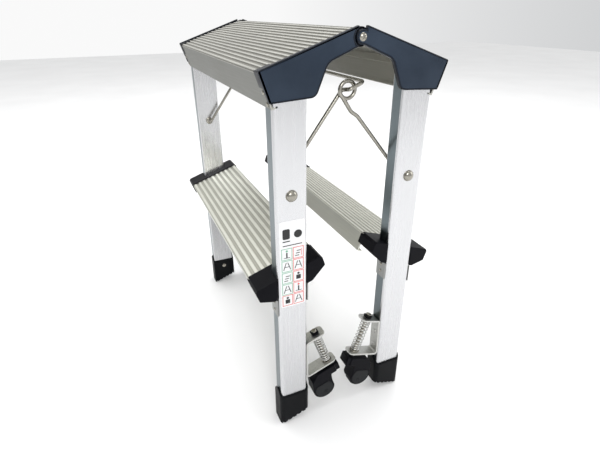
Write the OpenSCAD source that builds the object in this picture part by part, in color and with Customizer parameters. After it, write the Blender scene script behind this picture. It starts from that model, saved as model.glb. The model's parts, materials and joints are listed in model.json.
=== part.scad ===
// Double-sided two-step folding ladder, drawn folded, as it stands in storage.
// X runs across the two leg frames, Y along the hinge axis, Z up. The origin is on the floor,
// under the middle of the hinge axis. Each frame is drawn once for +X and mirrored for -X.

/* [Overall] */
// Length along the hinge, over the cheeks
ladder_len = 420; // [340:5:560]
// Height of the hinge axis above the floor when folded
hinge_h = 505; // [440:5:620]
// Slope of each platform half when folded, equal to half of the opening angle
fold_deg = 19; // [14:0.5:24]

/* [Platform half] */
// Reach of the platform half from the hinge axis, measured on the flat platform
half_w = 111.5; // [90:0.5:140]
// Height of the platform surface above the hinge axis
top_v = 9.4; // [8:0.1:14]
// Thickness of the tread sheet under the ribs
deck_t = 2.0; // [1.4:0.1:3]
// Height of the anti-slip ribs
rib_h = 1.0; // [0.6:0.1:2]
// Number of ribs on each platform half
rib_n = 16; // [10:1:22]
// Depth of the outer fascia, from the platform surface down
fascia_d = 38; // [25:1:50]
// Wall of the fascias
fascia_t = 1.8; // [1.2:0.1:3]
// Gap left between the hinge axis and the edge of each platform half
ridge_gap = 1.6; // [1:0.1:4]

/* [Cheeks] */
// Thickness of the moulded cheek plate
cheek_t = 4; // [3:0.5:6]
// Width of the cap on the outer corner of the platform
cheek_tab = 14; // [8:1:24]
// Height of the cheek's upper edge above the ribs
cheek_rise = 2; // [0.8:0.1:4]
// Radius of the knuckle around the hinge screw
knuckle_r = 7; // [6:0.1:9]
// Radius of the hollow seat that faces the knuckle
seat_r = 9.4; // [8:0.1:11]
// Shank diameter of the hinge screw
screw_d = 5; // [4:0.5:6]

/* [Legs] */
// Leg width, across X
leg_w = 38; // [30:1:50]
// Leg depth, along Y
leg_t = 21; // [16:1:30]
// Wall of the leg tube
leg_wall = 1.4; // [1:0.1:2.5]
// Distance from the hinge axis to the leg's centre line
leg_x = 76.5; // [65:0.5:100]
// Radius of the leg's corners on the outer face
leg_r = 4; // [2:0.5:8]

/* [Steps] */
// Inner edge of the step, measured on the open ladder from the hinge axis
step_in = 115.7; // [90:0.1:150]
// Width of the step
step_w = 88; // [70:1:110]
// Drop from the hinge axis to the step surface on the open ladder
step_drop = 216; // [180:1:280]
// Depth of the step's front and back fascias
step_d = 26; // [18:1:40]
// Number of ribs on a step
step_rib_n = 10; // [6:1:16]
// Height of the riveted plates on the leg below the step caps
gusset_h = 24; // [16:1:40]
// Thickness of those plates
gusset_t = 1.5; // [1:0.1:3]
// Length of the moulded cap at each end of a step
cap_len = 35; // [26:1:50]

/* [Feet] */
// Wall of the foot around the leg
foot_wall = 2.4; // [1.6:0.1:4]
// Height of the foot on its front face
foot_h = 50; // [35:1:70]
// Height of the raised tips on the foot's side faces
foot_tip = 11; // [5:1:18]

/* [Stays] */
// Wire diameter of the stays
wire_d = 4.4; // [3:0.2:7]
// Drop from the hinge axis to the stay pivots in the legs
rivet_drop = 156; // [130:1:200]
// Length of each stay from its pivot to the loop
stay_len = 128; // [115:0.5:150]

/* [Castors] */
// Castor wheel diameter
wheel_d = 24; // [18:1:30]
// Width of the castor wheel
wheel_w = 14; // [10:1:16]
// Offset of the wheel centre behind the swivel stem
trail = 20; // [14:0.5:26]
// Stem diameter
stem_d = 6; // [5:0.5:8]
// Spring travel of the castor
castor_travel = 5; // [3:0.5:8]

/* [Part selection] */
// Which sub-part to build

/* [Hidden] */
$fn = 48;
e = 0.01;
y_end = ladder_len / 2;
y_leg = y_end - cheek_t;
y_leg_in = y_leg - leg_t;
y_leg_mid = y_leg - leg_t / 2;
leg_in = leg_x - leg_w / 2;
leg_out = leg_x + leg_w / 2;
deck_v = top_v - rib_h;
rivet_z = hinge_h - rivet_drop;
link_y = y_leg_in - 5;
bail_y = link_y - 6.6;
bar_y = link_y + 6.6;
stay_rise = sqrt(pow(stay_len, 2) - pow(leg_x, 2));
stay_ang = atan2(stay_rise, leg_x);
eye_z = rivet_z + stay_rise;
loop_r = 9.3;
wheel_drop = 66.8;
hood_w = 20.8;
flange_hi = 35;
flange_lo = -20;
foot_in = leg_in - foot_wall;

// Colours
c_alu = [0.80, 0.80, 0.78];
c_cheek = [0.20, 0.24, 0.31];
c_black = [0.06, 0.06, 0.07];
c_zinc = [0.62, 0.63, 0.64];
c_steel = [0.72, 0.70, 0.66];
c_label = [0.93, 0.93, 0.92];

// ---------- helpers ----------

// Mirrors a shape drawn for the right front quarter to another quarter.
module quarter(sx, sy) {
    mirror([sx > 0 ? 0 : 1, 0, 0])
        mirror([0, sy < 0 ? 0 : 1, 0])
            children();
}

// Turns a shape drawn on the open, flat platform about the hinge axis to the folded position.
module folded() {
    translate([0, 0, hinge_h])
        rotate([0, fold_deg, 0])
            children();
}

// Extrudes a profile drawn in X-Z along Y, from y0 to y1.
module along_y(y0, y1) {
    translate([0, y1, 0])
        rotate([90, 0, 0])
            linear_extrude(y1 - y0)
                children();
}

// A cylinder along Y.
module rod_y(x, y0, y1, z, d) {
    translate([x, y0, z])
        rotate([-90, 0, 0])
            cylinder(d = d, h = y1 - y0);
}

// A straight wire between two points.
module wire(p, q, d) {
    v = q - p;
    h = norm(v);
    translate(p)
        rotate([0, acos(v[2] / h), atan2(v[1], v[0])])
            cylinder(d = d, h = h);
}

// A ball at a bend of a wire, a little thicker than the wire as a bend is.
module knot(p, d) {
    translate(p)
        sphere(d = d + 0.12);
}

// A rectangle with two pairs of rounded corners: r0 on the -Y side and r1 on the +Y side.
module soft_rect(w, t, r0, r1) {
    difference() {
        translate([-w / 2, -t / 2])
            square([w, t]);
        for (s = [-1, 1]) {
            translate([s * w / 2, -t / 2])
                corner(r0, -s, 1);
            translate([s * w / 2, t / 2])
                corner(r1, -s, -1);
        }
    }
}

// The waste outside a rounded corner.
module corner(r, sx, sy) {
    difference() {
        translate([sx > 0 ? -e : -r, sy > 0 ? -e : -r])
            square([r + e, r + e]);
        translate([sx * r, sy * r])
            circle(r = r);
    }
}

// ---------- legs ----------

module leg_bar() {
    difference() {
        translate([leg_x, -y_leg_mid, 30])
            linear_extrude(hinge_h - 30)
                difference() {
                    soft_rect(leg_w, leg_t, leg_r, 1.5);
                    soft_rect(leg_w - 2 * leg_wall, leg_t - 2 * leg_wall, leg_r - leg_wall, 0.6);
                }
        folded()
            translate([-50, -y_end - 5, deck_v - deck_t])
                cube([300, 60, 200]);
        rod_y(leg_x, -y_leg_in - 5, -y_leg_in + 1, rivet_z, wire_d + 0.1);
    }
}

// ---------- platform ----------

// Profile of one platform half on the open ladder: ribbed deck, fascia with a lip, hinge-side edge.
module tread_profile() {
    w = half_w - ridge_gap;
    pitch = (w - 6) / (rib_n - 1);
    translate([ridge_gap, deck_v - deck_t])
        square([w, deck_t]);
    for (i = [0 : rib_n - 1])
        translate([ridge_gap + 1.5 + i * pitch, deck_v - e])
            square([3, rib_h + e]);
    translate([half_w - fascia_t, top_v - fascia_d])
        square([fascia_t, fascia_d - rib_h]);
    translate([half_w - 7, top_v - fascia_d])
        square([7, fascia_t]);
    translate([half_w - 7, deck_v - deck_t - 9])
        square([7, fascia_t]);
    translate([ridge_gap, deck_v - 9])
        square([2, 9]);
}

module tread() {
    difference() {
        folded()
            tread_bar();
        for (s = [-1, 1])
            translate([leg_in, s * y_leg_mid - leg_t / 2 - 0.5, hinge_h - 80])
                cube([leg_w, leg_t + 1, 27]);
    }
}

// The platform half on the open ladder, with room at its ends for the hinge and the leg tops.
module tread_bar() {
    difference() {
        along_y(-y_leg, y_leg)
            tread_profile();
        for (s = [-1, 1])
            translate([-1, s * y_leg - 9, -20])
                cube([13, 18, 40]);
        for (s = [-1, 1])
            translate([half_w - 6.9 - 5, s * y_leg - leg_t - 1, -20])
                cube([5 + 6.9 - fascia_t, 2 * leg_t + 2, 20 + deck_v - deck_t - e]);
    }
}

// ---------- cheeks ----------

// Points on an arc around (x, z), from angle a0 to a1.
function arc(x, z, r, a0, a1, n) = [for (i = [0 : n]) [x + r * cos(a0 + (a1 - a0) * i / n),
                                                       z + r * sin(a0 + (a1 - a0) * i / n)]];

// Outline of the cheek plate on the open ladder: straight top, rounded inner lower corner, arm.
module cheek_face() {
    w = half_w + 0.8;
    polygon(concat([[ridge_gap, top_v + cheek_rise], [w, top_v + cheek_rise], [w, -21.4]],
                   arc(67.9, -24.3, 9, 285, 221, 10),
                   arc(36.7, -20.5, 12, 41, 86, 6),
                   [[4, -6.4], [ridge_gap, -5]]));
}

// The cap that wraps the outer corner of the platform half.
module cheek_skirt() {
    translate([half_w, -y_leg, -6])
        cube([0.8, cheek_tab - cheek_t, top_v + 6]);
    translate([half_w - 16, -y_leg, top_v])
        cube([16.8, cheek_tab - cheek_t, 0.8]);
}

// Right cheek: ends in the knuckle that turns around the screw.
module cheek_knuckle() {
    folded() {
        difference() {
            union() {
                along_y(-y_end, -y_leg)
                    cheek_face();
                rod_y(0, -y_end, -y_leg, 0, 2 * knuckle_r);
            }
            rod_y(0, -y_end - 1, -y_leg + 1, 0, screw_d + 0.1);
        }
        cheek_skirt();
    }
}

// Left cheek: hollow seat in front, and behind it the lug that holds the screw.
module cheek_seat() {
    folded() {
        difference() {
            along_y(-y_end, -y_leg)
                cheek_face();
            rod_y(0, -y_end - 1, -y_leg + 1, 0, 2 * seat_r);
        }
        difference() {
            union() {
                rod_y(0, -y_leg + 0.4, -y_leg + 4.4, 0, 2 * seat_r);
                translate([4, -y_leg + 0.4, -5.6])
                    cube([24, 4, deck_v - deck_t + 5.2]);
                translate([11, -y_leg - e, -5.6])
                    cube([17, 1, deck_v - deck_t + 5.2]);
            }
            rod_y(0, -y_leg - 1, -y_leg + 6, 0, screw_d);
        }
        cheek_skirt();
    }
}

// Screw through both cheeks: domed head outside, nut inside.
module hinge_screw() {
    translate([0, 0, hinge_h]) {
        rod_y(0, -y_end - 0.2, -y_leg + 7.2, 0, screw_d);
        difference() {
            translate([0, -y_end - 0.2, 0])
                rotate([90, 0, 0])
                    rotate_extrude()
                        intersection() {
                            translate([0, -3.4])
                                circle(r = 5.6);
                            square([4.4, 3]);
                        }
            for (a = [45, 135])
                translate([0, -y_end - 3, 0])
                    rotate([0, a, 0])
                        cube([4.6, 2.4, 1], center = true);
        }
        translate([0, -y_leg + 4.4, 0])
            rotate([-90, 0, 0])
                difference() {
                    cylinder(d = 8.6, h = 2.8, $fn = 6);
                    translate([0, 0, -1])
                        cylinder(d = screw_d, h = 5);
                }
    }
}

// ---------- steps ----------

// Height of the underside of a step cap at a given X.
function cap_floor(x) = hinge_h - (step_drop + step_d + x * sin(fold_deg)) / cos(fold_deg);

// Profile of a step on the open ladder, seen along Y.
module step_profile() {
    pitch = (step_w - 8) / (step_rib_n - 1);
    translate([step_in, -step_drop - rib_h - deck_t])
        square([step_w, deck_t]);
    for (i = [0 : step_rib_n - 1])
        translate([step_in + 2 + i * pitch, -step_drop - rib_h - e])
            square([4, rib_h + e]);
    for (x = [step_in, step_in + step_w - fascia_t])
        translate([x, -step_drop - step_d])
            square([fascia_t, step_d - rib_h]);
    for (x = [step_in, step_in + step_w - 7])
        translate([x, -step_drop - step_d])
            square([7, fascia_t]);
}

// Plates on the two sides of the leg, just below the cap.
module gussets() {
    translate([leg_in - gusset_t, -y_leg + 1, cap_floor(leg_in) - 1 - gusset_h])
        cube([gusset_t, leg_t - 2, gusset_h]);
    translate([leg_out, -y_leg + 1, cap_floor(leg_out + gusset_t) - 1 - gusset_h])
        cube([gusset_t, leg_t - 2, gusset_h]);
}

module step() {
    folded()
        along_y(-y_leg_in + 10, y_leg_in - 10)
            step_profile();
    gussets();
    mirror([0, 1, 0])
        gussets();
}

// Outline of the moulded cap on the open ladder.
module cap_outline(g) {
    x0 = step_in - 1.6 + g;
    x1 = step_in + step_w + 1.6 - g;
    t = -step_drop + 1 - g;
    b = -step_drop - step_d + g;
    polygon([[x0, t - 3], [x0 + 3, t], [x1 - 3, t], [x1, t - 3],
             [x1, b + 10], [x1 - 16, b], [x0 + 22, b], [x0, b + 12]]);
}

// Cap at the end of a step, with an open slot that takes the leg.
module step_cap() {
    difference() {
        folded()
            difference() {
                along_y(-y_leg + 0.5, -y_leg + 0.5 + cap_len)
                    cap_outline(0);
                along_y(-y_leg_in + 4, -y_leg_in + 20)
                    cap_outline(2.2);
            }
        translate([leg_in, -y_leg - 5, 100])
            cube([leg_w, leg_t + 5, 300]);
        folded()
            translate([step_in, -y_leg_in + 10, -step_drop - step_d])
                cube([step_w, 30, step_d]);
    }
}

// ---------- feet ----------

// Sole plane: level on the floor when the ladder is open.
module sole_cut() {
    translate([leg_out + foot_wall, 0, 0])
        rotate([0, fold_deg, 0])
            translate([-150, -300, -60])
                cube([200, 600, 60]);
}

module foot() {
    w = leg_w + 2 * foot_wall;
    t = leg_t + 2 * foot_wall;
    tip = foot_h + foot_tip;
    drop = foot_tip * 40 / (t / 2);
    difference() {
        translate([leg_x, -y_leg_mid, -20])
            linear_extrude(tip + 20)
                soft_rect(w, t, leg_r + foot_wall, 3);
        translate([leg_x, -y_leg_mid, 30])
            linear_extrude(100)
                soft_rect(leg_w, leg_t, leg_r, 1.5);
        translate([0, -y_leg_mid, 0])
            rotate([90, 0, 90])
                linear_extrude(200)
                    polygon([[0, tip], [40, tip - drop], [40, 120], [-40, 120], [-40, tip - drop]]);
        sole_cut();
        for (i = [0 : 5])
            translate([leg_out + foot_wall, -y_end - 10, 0])
                rotate([0, fold_deg, 0])
                    translate([-5 - i * 7.4, 0, -1])
                        cube([2.2, 60, 2.6]);
    }
}

// Screw that fixes the foot, on its inner face.
module foot_screw() {
    translate([leg_x, -y_leg_in + foot_wall, 38])
        rotate([-90, 0, 0]) {
            cylinder(d1 = 8, d2 = 5, h = 1.6);
        }
}

// ---------- rivets ----------

// Domed rivet head, axis along Y, pointing to -Y.
module dome_y(x, y, z, d, h) {
    rr = (d * d / 4 + h * h) / (2 * h);
    translate([x, y, z])
        rotate([90, 0, 0])
            rotate_extrude()
                intersection() {
                    translate([0, h - rr])
                        circle(r = rr);
                    square([d, h]);
                }
}

// Domed rivet head, axis along X, pointing to +X.
module dome_x(x, y, z, d, h) {
    translate([x, y, z])
        rotate([0, 90, 0])
            cylinder(d1 = d, d2 = d * 0.6, h = h);
}

module rivet_set() {
    dome_y(leg_x, -y_leg, rivet_z, 13, 4.4);
    for (v = [-11, -23])
        folded()
            dome_x(half_w, -y_leg + 5, v, 5, 1.5);
    for (d = [6, 16])
        mirror([1, 0, 0])
            dome_x(gusset_t - leg_in, -y_leg_mid, cap_floor(leg_in) - d, 4.4, 1.2);
    for (d = [8, 19])
        dome_x(leg_out + gusset_t, -y_leg_mid, cap_floor(leg_out + gusset_t) - d, 3.6, 1.1);
}

// ---------- stays ----------

// Pivot end of a stay in the front leg on +X: bent along Y into the leg, with a washer.
module stay_end(y) {
    rod_y(leg_x, -y_leg + 3, -y, rivet_z, wire_d);
    knot([leg_x, -y, rivet_z], wire_d);
    rod_y(leg_x, -y_leg_in + 1, -y_leg_in + 2.6, rivet_z, 12);
}

// Front half of the bail, drawn for a pivot on -X: arm, bend through the loop, corner, half bar.
module bail_arm() {
    a = [-leg_x, -bail_y, rivet_z];
    b = [-1.4, -bail_y, eye_z - 1.6];
    c = [1.4, -bar_y, eye_z + 0.6];
    d = [18, -bar_y, eye_z + 7.5];
    mirror([1, 0, 0])
        stay_end(bail_y);
    wire(a, b, wire_d);
    knot(b, wire_d);
    wire(b, c, wire_d);
    knot(c, wire_d);
    wire(c, d, wire_d);
    knot(d, wire_d);
}

module bail() {
    bail_arm();
    mirror([0, 1, 0])
        bail_arm();
    rod_y(18, -bar_y, bar_y, eye_z + 7.5, wire_d);
}

// A point of the link: a along the line from the loop to the pivot, n to its upper side.
function link_pt(a, n) = [a * cos(stay_ang) + n * sin(stay_ang), -link_y,
                          eye_z - a * sin(stay_ang) + n * cos(stay_ang)];

// Front link: straight shank, a small kink, and the loop that holds the bail.
module link() {
    p = [[stay_len, 0], [34, -5.4], [25, -8.8], [4, -8.1]];
    stay_end(link_y);
    for (i = [0 : 2]) {
        wire(link_pt(p[i][0], p[i][1]), link_pt(p[i + 1][0], p[i + 1][1]), wire_d);
        knot(link_pt(p[i][0], p[i][1]), wire_d);
    }
    translate(link_pt(1.8, 0.9))
        rotate([90, 0, 0])
            rotate_extrude()
                translate([loop_r, 0])
                    circle(d = wire_d);
}

// ---------- castors ----------

// Places a shape drawn around the stem: local +Z up along the stem, local +X away from the mid plane.
// Local zero is on the stem axis, under the middle of the spring.
module on_stem() {
    translate([29.3, -y_leg_mid, hinge_h - 402.6])
        rotate([0, fold_deg, 0])
            children();
}

// One flange of the bracket: reaches from beyond the stem to the back plate.
module flange(z) {
    translate([-12.5, -8.8, z])
        cube([70, 17.6, 2]);
}

// Spring bracket on the inner side face of the leg.
module bracket() {
    difference() {
        union() {
            intersection() {
                union() {
                    on_stem()
                        flange(flange_hi);
                    on_stem()
                        flange(flange_lo - 2);
                }
                translate([0, -y_end, 0])
                    cube([leg_in - 1, 60, 200]);
            }
            translate([leg_in - 2, -y_leg_mid - 9, 66])
                cube([2, 18, 68]);
        }
        on_stem()
            translate([0, 0, -60])
                cylinder(d = stem_d + 0.1, h = 120);
    }
    for (z = [84, 108])
        translate([leg_in - 3.4, -y_leg_mid, z])
            rotate([0, 90, 0])
                cylinder(d1 = 4, d2 = 7.4, h = 1.8);
}

// Stem with its spring collar, and the square retainer that rests above the upper flange.
module stem() {
    on_stem() {
        translate([0, 0, -34])
            cylinder(d = stem_d, h = 34 + flange_hi + 9);
        translate([0, 0, flange_lo + 0.4])
            cylinder(d = 14.2, h = 1.8);
        translate([0, 0, flange_hi + 2.4 + 1.6])
            cube([9.5, 9.5, 3.2], center = true);
    }
}

// Coil spring between the collar and the upper flange.
module spring() {
    z0 = flange_lo + 2.3;
    z1 = flange_hi - 0.1;
    on_stem()
        translate([0, 0, z0])
            linear_extrude(z1 - z0, twist = -360 * 10, slices = 160, $fn = 8)
                polygon([for (k = [-1 : 1]) [6.9 * cos(k * 56), 6.9 * sin(k * 56)],
                         for (k = [1 : -1 : -1]) [5.4 * cos(k * 56), 5.4 * sin(k * 56)]]);
}

// Side outline of the hood, seen along the axle: arm on the stem, shoulder and round end.
module hood_side() {
    polygon(concat([[-12.4, -41], [-12.4, -27.6], [22, -27.6], [33, -38]],
                   arc(trail + 1, -60, 16.5, 25, -165, 18),
                   [[5, -52], [3, -41]]));
}

// Swivel hood: arm with the bore for the stem, two side walls around the wheel, and the axle.
module hood() {
    gap = 1.2;
    on_stem() {
        difference() {
            along_y(-hood_w / 2, hood_w / 2)
                hood_side();
            translate([0, 0, -36])
                cylinder(d = stem_d + 0.1, h = 20);
            rod_y(trail, -wheel_w / 2 - gap, wheel_w / 2 + gap, -wheel_drop, wheel_d + 2 * gap);
            translate([trail - wheel_d / 2 - gap, -wheel_w / 2 - gap, -wheel_drop - 20])
                cube([wheel_d + 2 * gap, wheel_w + 2 * gap, 20]);
            for (s = [-1, 1])
                translate([-20, s * 11 - 2, -50])
                    cube([14, 4, 30]);
        }
        rod_y(trail, -hood_w / 2 + 0.6, hood_w / 2 - 0.6, -wheel_drop, 5);
    }
}

// Castor wheel with bevelled edges and a recess around the axle on each side.
module wheel() {
    r = wheel_d / 2;
    h = wheel_w / 2;
    on_stem()
        translate([trail, 0, -wheel_drop])
            rotate([90, 0, 0])
                rotate_extrude()
                    polygon([[2.55, -h], [4.5, -h], [5, -h + 1], [8.5, -h + 1], [9, -h], [r - 1.2, -h],
                             [r, -h + 1.2], [r, h - 1.2], [r - 1.2, h], [9, h], [8.5, h - 1], [5, h - 1],
                             [4.5, h], [2.55, h]]);
}

// ---------- label ----------

module label_plate() {
    translate([-leg_x - 16, -y_leg - 0.3, hinge_h - 302])
        cube([32, 0.3, 117]);
}

// ---------- sub-parts ----------

module leg_left_front() { color(c_alu) quarter(-1, -1) leg_bar(); }
module leg_left_rear() { color(c_alu) quarter(-1, 1) leg_bar(); }
module leg_right_front() { color(c_alu) quarter(1, -1) leg_bar(); }
module leg_right_rear() { color(c_alu) quarter(1, 1) leg_bar(); }
module tread_left() { color(c_alu) quarter(-1, -1) tread(); }
module tread_right() { color(c_alu) tread(); }
module cheek_left_front() { color(c_cheek) quarter(-1, -1) cheek_seat(); }
module cheek_left_rear() { color(c_cheek) quarter(-1, 1) cheek_seat(); }
module cheek_right_front() { color(c_cheek) cheek_knuckle(); }
module cheek_right_rear() { color(c_cheek) quarter(1, 1) cheek_knuckle(); }
module hinge_screw_front() { color(c_zinc) hinge_screw(); }
module hinge_screw_rear() { color(c_zinc) quarter(1, 1) hinge_screw(); }
module step_left() { color(c_alu) quarter(-1, -1) step(); }
module step_right() { color(c_alu) step(); }
module step_cap_left_front() { color(c_black) quarter(-1, -1) step_cap(); }
module step_cap_left_rear() { color(c_black) quarter(-1, 1) step_cap(); }
module step_cap_right_front() { color(c_black) step_cap(); }
module step_cap_right_rear() { color(c_black) quarter(1, 1) step_cap(); }
module foot_left_front() { color(c_black) quarter(-1, -1) foot(); }
module foot_left_rear() { color(c_black) quarter(-1, 1) foot(); }
module foot_right_front() { color(c_black) foot(); }
module foot_right_rear() { color(c_black) quarter(1, 1) foot(); }
module foot_screws_left() {
    color(c_zinc)
        for (s = [-1, 1])
            quarter(-1, s) foot_screw();
}
module foot_screws_right() {
    color(c_zinc)
        for (s = [-1, 1])
            quarter(1, s) foot_screw();
}
module rivets_left() {
    color(c_steel)
        for (s = [-1, 1])
            quarter(-1, s) rivet_set();
}
module rivets_right() {
    color(c_steel)
        for (s = [-1, 1])
            quarter(1, s) rivet_set();
}
module bracket_left_front() { color(c_zinc) quarter(-1, -1) bracket(); }
module bracket_left_rear() { color(c_zinc) quarter(-1, 1) bracket(); }
module bracket_right_front() { color(c_zinc) bracket(); }
module bracket_right_rear() { color(c_zinc) quarter(1, 1) bracket(); }
module stay_bail() { color(c_steel) bail(); }
module stay_link_front() { color(c_steel) link(); }
module stay_link_rear() { color(c_steel) quarter(1, 1) link(); }
module stem_left_front() { color(c_zinc) quarter(-1, -1) stem(); }
module stem_left_rear() { color(c_zinc) quarter(-1, 1) stem(); }
module stem_right_front() { color(c_zinc) stem(); }
module stem_right_rear() { color(c_zinc) quarter(1, 1) stem(); }
module spring_left_front() { color(c_zinc) quarter(-1, -1) spring(); }
module spring_left_rear() { color(c_zinc) quarter(-1, 1) spring(); }
module spring_right_front() { color(c_zinc) spring(); }
module spring_right_rear() { color(c_zinc) quarter(1, 1) spring(); }
module hood_left_front() { color(c_black) quarter(-1, -1) hood(); }
module hood_left_rear() { color(c_black) quarter(-1, 1) hood(); }
module hood_right_front() { color(c_black) hood(); }
module hood_right_rear() { color(c_black) quarter(1, 1) hood(); }
module wheel_left_front() { color(c_black) quarter(-1, -1) wheel(); }
module wheel_left_rear() { color(c_black) quarter(-1, 1) wheel(); }
module wheel_right_front() { color(c_black) wheel(); }
module wheel_right_rear() { color(c_black) quarter(1, 1) wheel(); }
module label() { color(c_label) label_plate(); }

leg_left_front();
leg_left_rear();
leg_right_front();
leg_right_rear();
tread_left();
tread_right();
cheek_left_front();
cheek_left_rear();
cheek_right_front();
cheek_right_rear();
hinge_screw_front();
hinge_screw_rear();
step_left();
step_right();
step_cap_left_front();
step_cap_left_rear();
step_cap_right_front();
step_cap_right_rear();
foot_left_front();
foot_left_rear();
foot_right_front();
foot_right_rear();
foot_screws_left();
foot_screws_right();
rivets_left();
rivets_right();
bracket_left_front();
bracket_left_rear();
bracket_right_front();
bracket_right_rear();
stay_bail();
stay_link_front();
stay_link_rear();
stem_left_front();
stem_left_rear();
stem_right_front();
stem_right_rear();
spring_left_front();
spring_left_rear();
spring_right_front();
spring_right_rear();
hood_left_front();
hood_left_rear();
hood_right_front();
hood_right_rear();
wheel_left_front();
wheel_left_rear();
wheel_right_front();
wheel_right_rear();
label();
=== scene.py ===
import json
import math

import bmesh
import bpy
from mathutils import Matrix, Vector


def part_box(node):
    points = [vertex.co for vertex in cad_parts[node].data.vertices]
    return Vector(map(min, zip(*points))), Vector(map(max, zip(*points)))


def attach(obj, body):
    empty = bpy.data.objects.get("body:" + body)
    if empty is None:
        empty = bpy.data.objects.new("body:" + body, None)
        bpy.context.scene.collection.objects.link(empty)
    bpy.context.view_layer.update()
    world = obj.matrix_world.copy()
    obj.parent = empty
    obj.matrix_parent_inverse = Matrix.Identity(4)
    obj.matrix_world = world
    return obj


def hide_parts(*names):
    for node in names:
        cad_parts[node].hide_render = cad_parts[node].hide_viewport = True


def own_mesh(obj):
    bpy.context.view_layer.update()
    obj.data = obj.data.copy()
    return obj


# Double-sided folding step ladder: aluminium legs, ribbed treads, moulded cheeks, wire stays and
# sprung castors. Shapes are drawn in millimetres for the right front quarter and mirrored.

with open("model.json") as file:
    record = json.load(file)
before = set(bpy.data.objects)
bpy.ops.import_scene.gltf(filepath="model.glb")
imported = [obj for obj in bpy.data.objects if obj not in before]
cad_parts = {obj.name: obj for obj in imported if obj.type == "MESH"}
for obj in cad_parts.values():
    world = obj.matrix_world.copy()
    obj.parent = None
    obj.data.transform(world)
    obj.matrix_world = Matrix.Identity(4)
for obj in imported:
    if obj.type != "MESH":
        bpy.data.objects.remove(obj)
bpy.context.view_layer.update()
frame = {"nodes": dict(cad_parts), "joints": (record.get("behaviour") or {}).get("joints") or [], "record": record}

MM = 0.001
QUARTERS = {"left_front": (-1, -1), "left_rear": (-1, 1), "right_front": (1, -1), "right_rear": (1, 1)}
SIDES = {"left": -1, "right": 1}
NODE_BODY = {n: b for b, members in frame["record"]["behaviour"]["bodies"].items() for n in members}
JOINTS = {j["name"]: j for j in frame["joints"]}


def span(node):
    """Lowest and highest corner of a CAD node, in millimetres."""
    low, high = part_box(node)
    return low / MM, high / MM


# ---------- dimensions, in millimetres ----------

LEG_LOW, LEG_HIGH = span("leg_right_front")
FOOT_HIGH = span("foot_right_front")[1]
LABEL_LOW, LABEL_HIGH = span("label")
CHEEK_LOW = span("cheek_right_front")[0]
HINGE_Z = JOINTS["fold"]["pos_m"][2] / MM
FOLD = math.radians(JOINTS["fold"]["range_deg"][1] / 2)
RIVET_Z = JOINTS["link_front_pivot"]["pos_m"][2] / MM
Y_END = -CHEEK_LOW.y
Y_LEG = -LEG_LOW.y
Y_LEG_IN = -LEG_HIGH.y
Y_MID = (Y_LEG + Y_LEG_IN) / 2
LEG_IN, LEG_OUT = LEG_LOW.x, LEG_HIGH.x
LEG_X = (LEG_IN + LEG_OUT) / 2
LEG_W = LEG_OUT - LEG_IN
LEG_T = Y_LEG - Y_LEG_IN

LEG_R = 4
LEG_WALL = 1.4
HALF_W = 111.5
TOP_V = 9.4
DECK_V = 8.4
DECK_T = 2
RIDGE_GAP = 1.6
RIB_N = 16
RIB_W = 3
FASCIA_D = 38
FASCIA_T = 1.8
HINGE_NOTCH = 12
NOTCH_Y = 9
CAP_UP = 0.8
CHEEK_RISE = 2
KNUCKLE_R = 7
SEAT_R = 9.4
STEP_IN = 115.7
STEP_W = 88
STEP_DROP = 216
STEP_D = 26
STEP_RIBS = 10
STEP_RIB_W = 4.4
GUSSET_T = 1.5
GUSSET_H = 24
WIRE_D = 4.4
STAY_LEN = 128
LOOP_R = 9.3
STEM_D = 6
TRAIL = 20
WHEEL_DROP = 66.8
WHEEL_D = 24
WHEEL_W = 14
HOOD_W = 20.8
FLANGE_HI = 35
FLANGE_LO = -20
SPRING_WIRE = 1.5
SPRING_TURNS = 12
SPRING_R = 6.1
COLLAR_R = 7.1
STEM_X = 29.3
STEM_BELOW_HINGE = 402.6
BRACKET_HALF = 9
BRACKET_RIVET_Z = (84, 108)
FOOT_SCREW_Z = 38
PLATE_GAP = 1
# small rivets: diameter and height of the head, then the drops below the deck or the cap
FASCIA_RIVET, FASCIA_RIVET_DROPS = (5, 1.5), (11, 23)
INNER_RIVET, INNER_RIVET_DROPS = (4.4, 1.2), (6, 16)
OUTER_RIVET, OUTER_RIVET_DROPS = (3.6, 1.1), (8, 19)
STAY_RIVET = (13, 4.4)
# an outline point this close to a valley's height or to an outer side belongs to it
VALLEY_BAND = 0.32
VALLEY_DEPTH = 1.5
SIDE_BAND = 1.2

FOLDED = Matrix.Translation((0, 0, HINGE_Z)) @ Matrix.Rotation(FOLD, 4, "Y")
STEM_BASE = Vector((STEM_X, -Y_MID, HINGE_Z - STEM_BELOW_HINGE))
ON_STEM = Matrix.Translation(STEM_BASE) @ Matrix.Rotation(FOLD, 4, "Y")


# ---------- materials ----------


def new_material(name):
    """An empty material, its node tree and its Principled shader."""
    material = bpy.data.materials.new(name)
    material.use_nodes = True
    tree = material.node_tree
    return material, tree, tree.nodes["Principled BSDF"]


def stretched_noise(tree, scale, stretch, detail=4.0):
    """Noise in object space, stretched by the given factors along x, y and z."""
    coords = tree.nodes.new("ShaderNodeTexCoord")
    mapping = tree.nodes.new("ShaderNodeMapping")
    mapping.inputs["Scale"].default_value = stretch
    noise = tree.nodes.new("ShaderNodeTexNoise")
    noise.inputs["Scale"].default_value = scale
    noise.inputs["Detail"].default_value = detail
    tree.links.new(coords.outputs["Object"], mapping.inputs["Vector"])
    tree.links.new(mapping.outputs["Vector"], noise.inputs["Vector"])
    return noise.outputs["Fac"]


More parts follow.
